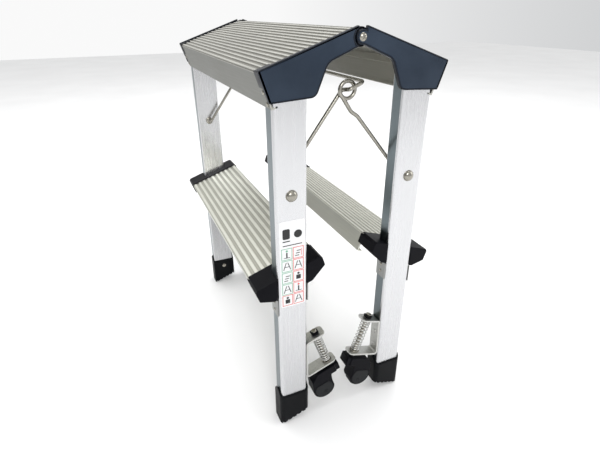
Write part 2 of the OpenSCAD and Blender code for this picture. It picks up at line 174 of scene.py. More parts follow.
def ramp(tree, factor, low, high, start=0.3, end=0.7):
    """A colour that runs from low to high as the factor runs from start to end."""
    node = tree.nodes.new("ShaderNodeValToRGB")
    node.color_ramp.elements[0].position = start
    node.color_ramp.elements[1].position = end
    node.color_ramp.elements[0].color = (*low, 1)
    node.color_ramp.elements[1].color = (*high, 1)
    tree.links.new(factor, node.inputs["Fac"])
    return node.outputs["Color"]


def span_value(tree, factor, low, high):
    """A number that runs from low to high with a noise factor."""
    node = tree.nodes.new("ShaderNodeMapRange")
    node.inputs["From Min"].default_value = 0.3
    node.inputs["From Max"].default_value = 0.7
    node.inputs["To Min"].default_value = low
    node.inputs["To Max"].default_value = high
    tree.links.new(factor, node.inputs["Value"])
    return node.outputs["Result"]


def bump(tree, shader, factor, strength, distance=0.0002):
    """Relief from a factor on the shader's normal."""
    node = tree.nodes.new("ShaderNodeBump")
    node.inputs["Strength"].default_value = strength
    node.inputs["Distance"].default_value = distance
    tree.links.new(factor, node.inputs["Height"])
    tree.links.new(node.outputs["Normal"], shader.inputs["Normal"])


def grained_metal(name, low, high, rough, stretch, scale=60.0, relief=0.12):
    """Drawn or rolled metal: long grain in colour, roughness and relief."""
    material, tree, shader = new_material(name)
    grain = stretched_noise(tree, scale, stretch, 6.0)
    cloud = stretched_noise(tree, 7.0, (1, 1, 1), 3.0)
    mixed = tree.nodes.new("ShaderNodeMath")
    mixed.operation = "MULTIPLY_ADD"
    mixed.inputs[1].default_value = 0.45
    tree.links.new(cloud, mixed.inputs[0])
    half = tree.nodes.new("ShaderNodeMath")
    half.operation = "MULTIPLY"
    half.inputs[1].default_value = 0.55
    tree.links.new(grain, half.inputs[0])
    tree.links.new(half.outputs["Value"], mixed.inputs[2])
    factor = mixed.outputs["Value"]
    tree.links.new(ramp(tree, factor, low, high), shader.inputs["Base Color"])
    tree.links.new(span_value(tree, factor, rough * 0.85, rough * 1.2), shader.inputs["Roughness"])
    shader.inputs["Metallic"].default_value = 1.0
    bump(tree, shader, grain, relief)
    return material


def moulded_plastic(name, low, high, rough, gloss, grain=900.0, relief=0.25):
    """Moulded plastic: fine spark texture, faint clouds, and scuffs in the roughness."""
    material, tree, shader = new_material(name)
    texture = stretched_noise(tree, grain, (1, 1, 1), 2.0)
    cloud = stretched_noise(tree, 22.0, (1, 1, 1), 5.0)
    tree.links.new(ramp(tree, cloud, low, high), shader.inputs["Base Color"])
    tree.links.new(span_value(tree, cloud, rough * 0.8, rough * 1.25), shader.inputs["Roughness"])
    shader.inputs["Specular IOR Level"].default_value = gloss
    bump(tree, shader, texture, relief, 0.00015)
    return material


def spangled_zinc(name, low, high, rough):
    """Zinc plate: soft crystal patches over a fine grain."""
    material, tree, shader = new_material(name)
    coords = tree.nodes.new("ShaderNodeTexCoord")
    cells = tree.nodes.new("ShaderNodeTexVoronoi")
    cells.inputs["Scale"].default_value = 260.0
    tree.links.new(coords.outputs["Object"], cells.inputs["Vector"])
    fine = stretched_noise(tree, 500.0, (1, 1, 1), 3.0)
    mix = tree.nodes.new("ShaderNodeMath")
    mix.operation = "MULTIPLY_ADD"
    mix.inputs[1].default_value = 0.3
    tree.links.new(cells.outputs["Distance"], mix.inputs[0])
    tree.links.new(fine, mix.inputs[2])
    factor = mix.outputs["Value"]
    tree.links.new(ramp(tree, factor, low, high), shader.inputs["Base Color"])
    tree.links.new(span_value(tree, factor, rough * 0.8, rough * 1.25), shader.inputs["Roughness"])
    shader.inputs["Metallic"].default_value = 1.0
    bump(tree, shader, fine, 0.1, 0.0001)
    return material


def printed(name, low, high, rough=0.45):
    """Printed film, with the faint unevenness of ink on vinyl."""
    material, tree, shader = new_material(name)
    cloud = stretched_noise(tree, 300.0, (1, 1, 1), 3.0)
    tree.links.new(ramp(tree, cloud, low, high), shader.inputs["Base Color"])
    tree.links.new(span_value(tree, cloud, rough * 0.9, rough * 1.1), shader.inputs["Roughness"])
    bump(tree, shader, cloud, 0.05, 0.0001)
    return material


# stretch of the grain: drawn out along the leg, or along the treads and steps
ALONG_Z = (12, 12, 0.35)
ALONG_Y = (12, 0.35, 12)
LEG_METAL = grained_metal("leg_aluminium", (0.58, 0.583, 0.595), (0.63, 0.633, 0.645), 0.26, ALONG_Z,
                          30.0, 0.03)
# a darker copy of the leg metal for the tube's two side faces (facing x): painted shade
LEG_SIDE_SHADE_METAL = grained_metal("leg_side_painted_shade", (0.125, 0.155, 0.168), (0.17, 0.198, 0.21), 0.30,
                               ALONG_Z, 45.0, 0.05)
TREAD_METAL = grained_metal("tread_aluminium", (0.38, 0.377, 0.343), (0.47, 0.464, 0.425), 0.40, ALONG_Y)
# a darker copy of the tread metal for the floors between the ribs: painted shade in the grooves
TREAD_GROOVE_SHADE = grained_metal("tread_groove_painted_shade", (0.15, 0.147, 0.13), (0.21, 0.205, 0.18), 0.5, ALONG_Y)
STEP_METAL = grained_metal("step_aluminium", (0.64, 0.64, 0.575), (0.74, 0.74, 0.675), 0.40, ALONG_Y)
# a darker copy of the step metal for the floors between the ribs: painted shade in the grooves
STEP_GROOVE_SHADE = grained_metal("step_groove_painted_shade", (0.38, 0.38, 0.33), (0.46, 0.46, 0.40), 0.5, ALONG_Y)
# a darker copy of the tread metal for the fascia and the tread's other outer sides: painted shade
FASCIA_SHADE_METAL = grained_metal("fascia_painted_shade", (0.125, 0.127, 0.112), (0.17, 0.171, 0.153), 0.42, ALONG_Y)
# a darker copy of the step metal for the step's outer sides: painted shade
STEP_SIDE_SHADE_METAL = grained_metal("step_side_painted_shade", (0.44, 0.44, 0.395), (0.54, 0.54, 0.49), 0.40, ALONG_Y)
PLATE_METAL = grained_metal("leg_plate_aluminium", (0.22, 0.225, 0.22), (0.31, 0.315, 0.305), 0.36, ALONG_Z)
CHEEK_PLASTIC = moulded_plastic("cheek_plastic", (0.010, 0.018, 0.032), (0.019, 0.031, 0.051), 0.33, 0.24)
RIM_PLASTIC = moulded_plastic("rim_plastic", (0.004, 0.005, 0.009), (0.008, 0.010, 0.015), 0.40, 0.2)
BLACK_PLASTIC = moulded_plastic("black_plastic", (0.0015, 0.0015, 0.0028), (0.0035, 0.0035, 0.0055),
                                0.38, 0.07)
FOOT_PLASTIC = moulded_plastic("foot_plastic", (0.002, 0.0024, 0.0032), (0.0045, 0.005, 0.006), 0.44, 0.08)
WHEEL_RUBBER = moulded_plastic("wheel_rubber", (0.005, 0.006, 0.007), (0.012, 0.013, 0.014), 0.5, 0.18)
ZINC = spangled_zinc("zinc_plate", (0.40, 0.40, 0.38), (0.56, 0.56, 0.54), 0.34)
SPRING_STEEL = spangled_zinc("spring_steel", (0.40, 0.40, 0.385), (0.55, 0.55, 0.535), 0.24)
WIRE_STEEL = grained_metal("wire_steel", (0.25, 0.24, 0.21), (0.37, 0.355, 0.315), 0.25, (3, 3, 3), 120.0)
RIVET_STEEL = grained_metal("rivet_steel", (0.26, 0.248, 0.215), (0.36, 0.343, 0.30), 0.15, (3, 3, 3), 150.0)
FILM_WHITE = printed("film_white", (0.66, 0.665, 0.67), (0.72, 0.725, 0.73))
INK_BLACK = printed("ink_black", (0.004, 0.004, 0.004), (0.008, 0.008, 0.008))
INK_GREEN = printed("ink_green", (0.13, 0.33, 0.22), (0.18, 0.40, 0.28))
INK_RED = printed("ink_red", (0.55, 0.07, 0.07), (0.64, 0.12, 0.11))


# ---------- mesh helpers ----------


def piece(name, bm, material, quarter=(1, -1), sharp=38.0, weighted=True):
    """Mirrors a shape drawn for the right front quarter, and makes it an object in metres."""
    sx, sy = quarter
    bmesh.ops.transform(bm, matrix=Matrix.Diagonal((sx * MM, -sy * MM, MM, 1)), verts=bm.verts)
    bmesh.ops.recalc_face_normals(bm, faces=bm.faces)
    for face in bm.faces:
        face.smooth = True
    for edge in bm.edges:
        if len(edge.link_faces) == 2:
            edge.smooth = edge.calc_face_angle() < math.radians(sharp)
    mesh = bpy.data.meshes.new(name)
    bm.to_mesh(mesh)
    bm.free()
    obj = bpy.data.objects.new(name, mesh)
    bpy.context.scene.collection.objects.link(obj)
    for entry in material if isinstance(material, tuple) else (material,):
        obj.data.materials.append(entry)
    if weighted:
        modifier = obj.modifiers.new("weighted_normal", "WEIGHTED_NORMAL")
        modifier.keep_sharp = True
    return obj


def stands_for(obj, node):
    """The piece replaces a CAD node and rides on its body."""
    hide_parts(node)
    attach(obj, NODE_BODY[node])
    return obj


def goes_with(obj, node):
    """The piece is a detail on a CAD node: it rides on the same body."""
    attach(obj, NODE_BODY[node])
    return obj


def bevel_sharp(bm, width, angle=32.0, segments=2):
    """Rounds the edges that turn more than an angle."""
    limit = math.radians(angle)
    chosen = [e for e in bm.edges if len(e.link_faces) == 2 and e.calc_face_angle() > limit]
    bmesh.ops.bevel(bm, geom=chosen, offset=width, offset_type="OFFSET", segments=segments,
                    profile=0.5, affect="EDGES", clamp_overlap=False)


def refined(node, material, width, segments=2):
    """A CAD node's own shape as one welded skin with rounded edges."""
    bm = bmesh.new()
    bm.from_mesh(frame["nodes"][node].data)
    bmesh.ops.transform(bm, matrix=Matrix.Scale(1 / MM, 4), verts=bm.verts)
    bmesh.ops.remove_doubles(bm, verts=bm.verts, dist=0.003)
    bmesh.ops.dissolve_limit(bm, angle_limit=math.radians(0.8), verts=bm.verts, edges=bm.edges)
    if width:
        bevel_sharp(bm, width, segments=segments)
    obj = piece(node + "_skin", bm, material)
    return stands_for(obj, node)


def prism(bm, outline, y0, y1, matrix=None, valley=None):
    """A closed outline in x and z, drawn out along y. Valley flats take material 1, outer sides 2; callers give
    these slots darker copies of their metal, as painted shade.
    """
    widest = (min(x for x, z in outline) + SIDE_BAND, max(x for x, z in outline) - SIDE_BAND)
    near = [bm.verts.new((x, y0, z)) for x, z in outline]
    far = [bm.verts.new((x, y1, z)) for x, z in outline]
    count = len(outline)
    faces = [bm.faces.new(near), bm.faces.new(far)]
    for i in range(count):
        k = (i + 1) % count
        faces.append(bm.faces.new((near[i], near[k], far[k], far[i])))
        if valley is None:
            continue
        heights = (outline[i][1], outline[k][1])
        ends = (outline[i][0], outline[k][0])
        if max(abs(height - valley) for height in heights) < VALLEY_BAND:
            faces[-1].material_index = 1
        elif min(heights) < valley - VALLEY_DEPTH and (max(ends) < widest[0] or min(ends) > widest[1]):
            faces[-1].material_index = 2
    if matrix:
        bmesh.ops.transform(bm, matrix=matrix, verts=near + far)
    return near, far, faces


def block(bm, low, high, matrix=None):
    """A box between two corners."""
    outline = [(low[0], low[2]), (high[0], low[2]), (high[0], high[2]), (low[0], high[2])]
    return prism(bm, outline, low[1], high[1], matrix)


def lathe(bm, profile, matrix, segments=40):
    """Turns a profile of (radius, height) about the local z axis; ends at radius 0 close it."""
    rings = []
    made = []
    for radius, height in profile:
        if radius < 1e-6:
            ring = [bm.verts.new((0, 0, height))]
        else:
            ring = [bm.verts.new((radius * math.cos(2 * math.pi * i / segments),
                                  radius * math.sin(2 * math.pi * i / segments), height))
                    for i in range(segments)]
        rings.append(ring)
        made += ring
    for a, b in zip(rings, rings[1:]):
        for i in range(segments):
            k = (i + 1) % segments
            corners = [a[i % len(a)], a[k % len(a)], b[k % len(b)], b[i % len(b)]]
            unique = list(dict.fromkeys(corners))
            if len(unique) > 2:
                bm.faces.new(unique)
    bmesh.ops.transform(bm, matrix=matrix, verts=made)


def sweep(bm, points, radius, closed=False, sides=14):
    """A round wire along a list of points, with domed ends."""
    count = len(points)
    ring_dirs = []
    normal = None
    for i, point in enumerate(points):
        before = points[i - 1] if i or closed else points[0]
        after = points[(i + 1) % count] if i < count - 1 or closed else points[-1]
        tangent = (after - before).normalized()
        if normal is None:
            helper = Vector((0, 0, 1)) if abs(tangent.z) < 0.9 else Vector((1, 0, 0))
            normal = tangent.cross(helper).normalized()
        normal = (normal - tangent * normal.dot(tangent)).normalized()
        ring_dirs.append((point, normal.copy(), tangent.cross(normal), tangent))
    stations = [(p, n, b, radius) for p, n, b, _ in ring_dirs]
    if not closed:
        first, last = ring_dirs[0], ring_dirs[-1]
        stations.insert(0, (first[0] - first[3] * radius * 0.5, first[1], first[2], radius * 0.8))
        stations.append((last[0] + last[3] * radius * 0.5, last[1], last[2], radius * 0.8))
    rings = []
    for point, n, b, r in stations:
        rings.append([bm.verts.new(point + n * r * math.cos(2 * math.pi * k / sides)
                                   + b * r * math.sin(2 * math.pi * k / sides)) for k in range(sides)])
    pairs = list(zip(rings, rings[1:]))
    if closed:
        pairs.append((rings[-1], rings[0]))
    else:
        bm.faces.new(rings[0])
        bm.faces.new(rings[-1])
    for a, b in pairs:
        for k in range(sides):
            j = (k + 1) % sides
            bm.faces.new((a[k], a[j], b[j], b[k]))


def arc(x, z, radius, start, end, count):
    """Points on an arc, from one angle in degrees to another."""
    steps = [math.radians(start + (end - start) * i / count) for i in range(count + 1)]
    return [(x + radius * math.cos(a), z + radius * math.sin(a)) for a in steps]


def rounded(points, radius, count=6, closed=False):
    """A path of straight runs whose corners are arcs of a radius (or one radius per corner)."""
    path = [Vector(p) for p in points]
    total = len(path)
    out = []
    for i, corner in enumerate(path):
        r = radius[i] if isinstance(radius, (list, tuple)) else radius
        if (not closed and i in (0, total - 1)) or r <= 0:
            out.append(corner)
            continue
        to_before = (path[i - 1] - corner)
        to_after = (path[(i + 1) % total] - corner)
        angle = to_before.angle(to_after)
        if angle > math.pi - 0.02:
            out.append(corner)
            continue
        reach = min(r / math.tan(angle / 2), to_before.length * 0.49, to_after.length * 0.49)
        r = reach * math.tan(angle / 2)
        u, w = to_before.normalized(), to_after.normalized()
        centre = corner + (u + w).normalized() * (r / math.sin(angle / 2))
        start, end = corner + u * reach - centre, corner + w * reach - centre
        turn = start.angle(end)
        for k in range(count + 1):
            t = k / count
            offset = start * math.sin((1 - t) * turn) + end * math.sin(t * turn)
            out.append(centre + offset / math.sin(turn))
    return out


def rounded_outline(points, radius, count=4):
    """A closed outline in two dimensions with rounded corners."""
    flat = rounded([(x, z, 0) for x, z in points], radius, count, closed=True)
    return [(p.x, p.y) for p in flat]


def pointing(origin, direction):
    """Places a lathe at a point with its z axis along a direction."""
    turn = Vector((0, 0, 1)).rotation_difference(Vector(direction)).to_matrix().to_4x4()
    return Matrix.Translation(origin) @ turn


def dome(diameter, height, steps=7):
    """Profile of a domed head with a short straight edge."""
    radius = diameter / 2
    edge = height * 0.14
    points = [(0, 0), (radius * 0.96, 0), (radius, edge * 0.5), (radius, edge)]
    for i in range(1, steps + 1):
        a = math.pi / 2 * i / steps
        points.append((radius * math.cos(a) if i < steps else 0, edge + (height - edge) * math.sin(a)))
    return points


# ---------- legs and feet ----------


def soft_rect(width, depth, outer_r, inner_r):
    """Corners of a leg section: larger radius on its outer face."""
    w, t = width / 2, depth / 2
    return rounded_outline([(-w, -t), (w, -t), (w, t), (-w, t)], [outer_r, outer_r, inner_r, inner_r], 7)


def leg(name, quarter):
    """Rectangular tube with soft outer corners, cut off under the sloping deck."""
    deck_line = DECK_V - DECK_T
    bm = bmesh.new()
    loops = []
    for inset, radii in ((0, (LEG_R, 1.5)), (LEG_WALL, (LEG_R - LEG_WALL, 0.6))):
        section = soft_rect(LEG_W - 2 * inset, LEG_T - 2 * inset, *radii)
        low, high = [], []
        for x, y in section:
            px, py = x + LEG_X, y - Y_MID
            top = HINGE_Z + (deck_line - px * math.sin(FOLD)) / math.cos(FOLD)
            low.append(bm.verts.new((px, py, LEG_LOW.z)))
            high.append(bm.verts.new((px, py, top)))
        loops.append((low, high))
    (out_low, out_high), (in_low, in_high) = loops
    count = len(out_low)
    for i in range(count):
        k = (i + 1) % count
        side = bm.faces.new((out_low[i], out_low[k], out_high[k], out_high[i]))
        # the side faces that face along x take the darker copy of the metal: painted shade
        if abs(out_low[i].co.y - out_low[k].co.y) > LEG_T / 2:
            side.material_index = 1
        bm.faces.new((in_low[k], in_low[i], in_high[i], in_high[k]))
        bm.faces.new((out_high[i], out_high[k], in_high[k], in_high[i]))
        bm.faces.new((out_low[k], out_low[i], in_low[i], in_low[k]))
    node = "leg_" + name
    stands_for(piece(node + "_tube", bm, (LEG_METAL, LEG_SIDE_SHADE_METAL), quarter), node)


def foot_screws(side, sx):
    """Round screw heads on the inner faces of the feet."""
    bm = bmesh.new()
    for sy in (-1, 1):
        head = bmesh.new()
        origin = (LEG_X, FOOT_HIGH.y, FOOT_SCREW_Z)
        lathe(head, dome(8, 1.5), pointing(origin, (0, 1, 0)), 28)
        lathe(head, [(0, 1.2), (1.5, 1.2), (1.5, 1.62), (0, 1.62)], pointing(origin, (0, 1, 0)), 6)
        bmesh.ops.transform(head, matrix=Matrix.Diagonal((1, -sy, 1, 1)), verts=head.verts)
        bmesh.ops.recalc_face_normals(head, faces=head.faces)
        scratch = bpy.data.meshes.new("scratch")
        head.to_mesh(scratch)
        bm.from_mesh(scratch)
        head.free()
        bpy.data.meshes.remove(scratch)
    node = "foot_screws_" + side
    stands_for(piece(node + "_heads", bm, RIVET_STEEL, (sx, -1)), node)


# ---------- platform and steps ----------


def ribs(starts, width, base, top, soft=0.42):
    """Outline points over a row of ribs with rounded shoulders, from right to left."""
    points = []
    for x in sorted(starts, reverse=True):
        points += [(x + width + 0.35, base), (x + width, base + 0.3), (x + width, top - soft)]
        points += arc(x + width - soft, top - soft, soft, 22, 90, 3)
        points += arc(x + soft, top - soft, soft, 90, 158, 3)
        points += [(x, top - soft), (x, base + 0.3), (x - 0.35, base)]
    return points


def tread_outline(from_u):
    """Section of a platform half from a distance off the hinge axis outwards."""
    pitch = (HALF_W - RIDGE_GAP - 6) / (RIB_N - 1)
    starts = [RIDGE_GAP + 1.5 + i * pitch for i in range(RIB_N)]
    starts = [s for s in starts if s - 0.5 > from_u]
    low = TOP_V - FASCIA_D
    inner = HALF_W - FASCIA_T
    deck_low = DECK_V - DECK_T
    outer = [(HALF_W - 7, low), *arc(HALF_W - 1, low + 1, 1, 270, 360, 4),
             *arc(HALF_W - 0.8, DECK_V - 0.8, 0.8, 0, 90, 4)]
    inside = [(inner, deck_low), (inner, deck_low - 7.2), (HALF_W - 7, deck_low - 7.2),
              (HALF_W - 7, deck_low - 9), (inner, deck_low - 9), (inner, low + FASCIA_T),
              (HALF_W - 7, low + FASCIA_T)]
    if from_u > RIDGE_GAP:
        edge = [(from_u, DECK_V), (from_u, deck_low)]
    else:
        edge = [(from_u, DECK_V), (from_u, DECK_V - 9), (from_u + 2, DECK_V - 9), (from_u + 2, deck_low)]
    return outer + ribs(starts, RIB_W, DECK_V, TOP_V) + edge + inside


def tread(side, sx):
    """Ribbed platform half with its fascia; the ends by the hinge are cut back."""
    bm = bmesh.new()
    prism(bm, tread_outline(RIDGE_GAP), -(Y_LEG - NOTCH_Y), Y_LEG - NOTCH_Y, FOLDED, DECK_V)
    for y0, y1 in ((-Y_LEG, -(Y_LEG - NOTCH_Y)), (Y_LEG - NOTCH_Y, Y_LEG)):
        prism(bm, tread_outline(HINGE_NOTCH), y0, y1, FOLDED, DECK_V)
    node = "tread_" + side
    # the groove floors and the fascia take darker copies of the tread metal: painted shade
    metals = (TREAD_METAL, TREAD_GROOVE_SHADE, FASCIA_SHADE_METAL)
    stands_for(piece(node + "_deck", bm, metals, (sx, -1)), node)


def step_outline():
    """Section of a step: broad low ribs, and two fascias with a lip."""
    pitch = (STEP_W - 8) / (STEP_RIBS - 1)
    top = -STEP_DROP
    base = top - 1
    low = top - STEP_D
    left, right = STEP_IN, STEP_IN + STEP_W
    starts = [left + 1.8 + i * pitch for i in range(STEP_RIBS)]
    outside = [(right - 7, low), *arc(right - 1, low + 1, 1, 270, 360, 4),
               *arc(right - 1, base - 1, 1, 0, 90, 4)]
    far = [*arc(left + 1, base - 1, 1, 90, 180, 4), *arc(left + 1, low + 1, 1, 180, 270, 4),
           (left + 7, low)]
    inside = [(left + 7, low + FASCIA_T), (left + FASCIA_T, low + FASCIA_T), (left + FASCIA_T, base - DECK_T),
              (right - FASCIA_T, base - DECK_T), (right - FASCIA_T, low + FASCIA_T),
              (right - 7, low + FASCIA_T)]
    return outside + ribs(starts, STEP_RIB_W, base, top, 0.45) + far + inside


def cap_floor(x):
    """Height of the underside of a step cap at a given x."""
    return HINGE_Z - (STEP_DROP + STEP_D + x * math.sin(FOLD)) / math.cos(FOLD)


def step(side, sx):
    """Ribbed step between the two legs of a frame, and the plates on the legs under its caps."""
    bm = bmesh.new()
    reach = Y_LEG_IN - 10
    prism(bm, step_outline(), -reach, reach, FOLDED, -STEP_DROP - 1)
    for sy in (-1, 1):
        y0, y1 = sorted((sy * (Y_LEG_IN + 1), sy * (Y_LEG - 1)))
        inner, outer = cap_floor(LEG_IN) - PLATE_GAP, cap_floor(LEG_OUT + GUSSET_T) - PLATE_GAP
        plates = block(bm, (LEG_IN - GUSSET_T, y0, inner - GUSSET_H), (LEG_IN, y1, inner))[2]
        plates += block(bm, (LEG_OUT, y0, outer - GUSSET_H), (LEG_OUT + GUSSET_T, y1, outer))[2]
        for face in plates:
            face.material_index = 3
    node = "step_" + side
    # the groove floors and outer sides take darker copies of the step metal (painted shade); the leg plates take
    # their own metal
    metals = (STEP_METAL, STEP_GROOVE_SHADE, STEP_SIDE_SHADE_METAL, PLATE_METAL)
    stands_for(piece(node + "_deck", bm, metals, (sx, -1)), node)


# ---------- cheeks and hinge ----------


def cheek_outline(end):
    """Outline of the cheek on the open ladder, closed by the knuckle or by the hollow seat."""
    w = HALF_W + CAP_UP
    top = TOP_V + CHEEK_RISE
    body = [(RIDGE_GAP, top), *arc(w - 1.5, top - 1.5, 1.5, 90, 0, 3), *arc(w - 1.5, -19.9, 1.5, 0, -78, 3)]
    body += arc(67.9, -24.3, 9, 285, 221, 10)
    body += arc(36.7, -20.5, 12, 41, 86, 6)
    if end == "knuckle":
        body += arc(0, 0, KNUCKLE_R, -62, -283, 26)
    else:
        body += arc(0, 0, SEAT_R, -45, 80, 18)
    return body


def cheek(name, quarter):
    """Moulded end plate with a fine raised rim, a cap over the tread's edge and a corner tab."""
    end = "seat" if quarter[0] < 0 else "knuckle"
    bm = bmesh.new()
    face, *others = prism(bm, cheek_outline(end), -Y_END, -Y_LEG, FOLDED)[2]
    for other in others:
        other.material_index = 1
    bmesh.ops.inset_region(bm, faces=[face], thickness=1.5, use_even_offset=True)
    bmesh.ops.inset_region(bm, faces=[face], thickness=0.35, depth=-0.55, use_even_offset=True)
    w = HALF_W
    tabs = block(bm, (w, -Y_LEG - 1, -6), (w + CAP_UP, -Y_LEG + 10, TOP_V + CAP_UP), FOLDED)[2]
    tabs += block(bm, (w - 16, -Y_LEG - 1, TOP_V - 0.2), (w + CAP_UP, -Y_LEG + 10, TOP_V + CAP_UP),
                  FOLDED)[2]
    for tab in tabs:
        tab.material_index = 1
    node = "cheek_" + name
    stands_for(piece(node + "_plate", bm, (CHEEK_PLASTIC, RIM_PLASTIC), quarter), node)
    rim = bmesh.new()
    path = [Vector((x, -Y_END + 0.15, z)) for x, z in cheek_outline(end)]
    shrink = 0.85
    sweep(rim, [FOLDED @ p for p in inward(path, shrink)], 0.62, closed=True, sides=10)
    goes_with(piece(node + "_rim", rim, RIM_PLASTIC, quarter), node)
    if end == "seat":
        lug = bmesh.new()
        outline = [(4, -5.6), (28, -5.6), (28, 6), (7.2, 6)] + arc(0, 0, SEAT_R - 0.1, 40, 323, 30)
        prism(lug, outline, -Y_LEG + 0.4, -Y_LEG + 4.4, FOLDED)
        block(lug, (11, -Y_LEG - 0.2, -5.4), (27.6, -Y_LEG + 1, 5.8), FOLDED)
        goes_with(piece(node + "_lug", lug, BLACK_PLASTIC, quarter), node)


def inward(path, distance):
    """A closed path in a plane of constant y, moved to its inner side."""
    area = sum(a.x * b.z - b.x * a.z for a, b in zip(path, path[1:] + path[:1]))
    sign = 1 if area > 0 else -1
    out = []
    for i, p in enumerate(path):
        along = (path[(i + 1) % len(path)] - path[i - 1]).normalized()
        out.append(p + Vector((-along.z, 0, along.x)) * sign * distance)
    return out


def hinge_nut(name):
    """The node's own head, shank and nut, with softened edges."""
    refined("hinge_screw_" + name, RIVET_STEEL, 0.18)


# ---------- rivets ----------


def rivets(side, sx):
    """Domed stay rivets in the legs, small rivets in the fascia ends and in the leg plates."""
    bm = bmesh.new()
    for sy in (-1, 1):
        part = bmesh.new()
        lathe(part, [(7.0, -0.01), (7.0, 0.35), (6.6, 0.55), (0, 0.55)],
              pointing((LEG_X, -Y_LEG, RIVET_Z), (0, -1, 0)), 40)
        lathe(part, dome(*STAY_RIVET, 10), pointing((LEG_X, -Y_LEG, RIVET_Z), (0, -1, 0)), 40)
        out = FOLDED.to_3x3() @ Vector((1, 0, 0))
        for drop in FASCIA_RIVET_DROPS:
            place = FOLDED @ Vector((HALF_W, -Y_LEG + 5, -drop))
            lathe(part, dome(*FASCIA_RIVET, 5), pointing(place, out), 24)
        for drop in INNER_RIVET_DROPS:
            place = (LEG_IN - GUSSET_T, -Y_MID, cap_floor(LEG_IN) - drop)
            lathe(part, dome(*INNER_RIVET, 5), pointing(place, (-1, 0, 0)), 24)
        for drop in OUTER_RIVET_DROPS:
            place = (LEG_OUT + GUSSET_T, -Y_MID, cap_floor(LEG_OUT + GUSSET_T) - drop)
            lathe(part, dome(*OUTER_RIVET, 5), pointing(place, (1, 0, 0)), 24)
        bmesh.ops.transform(part, matrix=Matrix.Diagonal((1, -sy, 1, 1)), verts=part.verts)
        scratch = bpy.data.meshes.new("scratch")
        part.to_mesh(scratch)
        bm.from_mesh(scratch)
        part.free()
        bpy.data.meshes.remove(scratch)
    node = "rivets_" + side
    stands_for(piece(node + "_heads", bm, RIVET_STEEL, (sx, -1)), node)


# ---------- stays ----------

LINK_Y = Y_LEG_IN - 5
BAIL_Y = LINK_Y - 6.6
BAR_Y = LINK_Y + 6.6
STAY_RISE = math.sqrt(STAY_LEN ** 2 - LEG_X ** 2)
STAY_ANGLE = math.atan2(STAY_RISE, LEG_X)
EYE_Z = RIVET_Z + STAY_RISE


def stay_washer(bm, sx, sy):
    """Washer where a stay enters its leg."""
    lathe(bm, [(0, 0), (5.6, 0), (6, 0.3), (6, 1.3), (5.6, 1.6), (0, 1.6)],
          pointing((sx * LEG_X, sy * (Y_LEG_IN - 1), RIVET_Z), (0, -sy, 0)), 32)


def stay_bail():
    """Bent wire bail: two arms from the left legs, through the loops, to one crossbar."""
    half = []
    for sy in (-1, 1):
        points = [(-LEG_X, sy * (Y_LEG - 3), RIVET_Z), (-LEG_X, sy * BAIL_Y, RIVET_Z),
                  (-1.4, sy * BAIL_Y, EYE_Z - 1.6), (1.4, sy * BAR_Y, EYE_Z + 0.6),
                  (18, sy * BAR_Y, EYE_Z + 7.5)]
        half.append(points)
    route = half[0] + half[1][::-1]
    radii = [0, 4.5, 3.5, 3.5, 4.5, 4.5, 3.5, 3.5, 4.5, 0]
    bm = bmesh.new()
    sweep(bm, rounded(route, radii, 7), WIRE_D / 2)
    for sy in (-1, 1):
        stay_washer(bm, -1, sy)
    stands_for(piece("stay_bail_wire", bm, WIRE_STEEL, weighted=False), "stay_bail")


def link_point(along, up):
    """A point of the link, from distances along and above the line from its loop to its pivot."""
    c, s = math.cos(STAY_ANGLE), math.sin(STAY_ANGLE)
    return Vector((along * c + up * s, -LINK_Y, EYE_Z - along * s + up * c))


def stay_link(name, sy):
    """Wire link with a closed eye that holds the bail."""
    centre = (1.8, 0.9)
    start = math.degrees(math.atan2(-8.1 - centre[1], 4 - centre[0]))
    eye = []
    for i in range(1, 41):
        a = math.radians(start - i * 352 / 40)
        eye.append(link_point(centre[0] + LOOP_R * math.cos(a), centre[1] + LOOP_R * math.sin(a)))
    bend = [link_point(STAY_LEN, 0), link_point(34, -5.4), link_point(25, -8.8), link_point(4, -8.1)]
    entry = Vector((LEG_X, -(Y_LEG - 3), RIVET_Z))
    shank = rounded([entry] + bend, [0, 4.5, 18, 18, 0], 8)
    bm = bmesh.new()
    sweep(bm, shank + eye, WIRE_D / 2)
    stay_washer(bm, 1, -1)
    node = "stay_link_" + name
    stands_for(piece(node + "_wire", bm, WIRE_STEEL, (1, sy), weighted=False), node)


# ---------- castors ----------


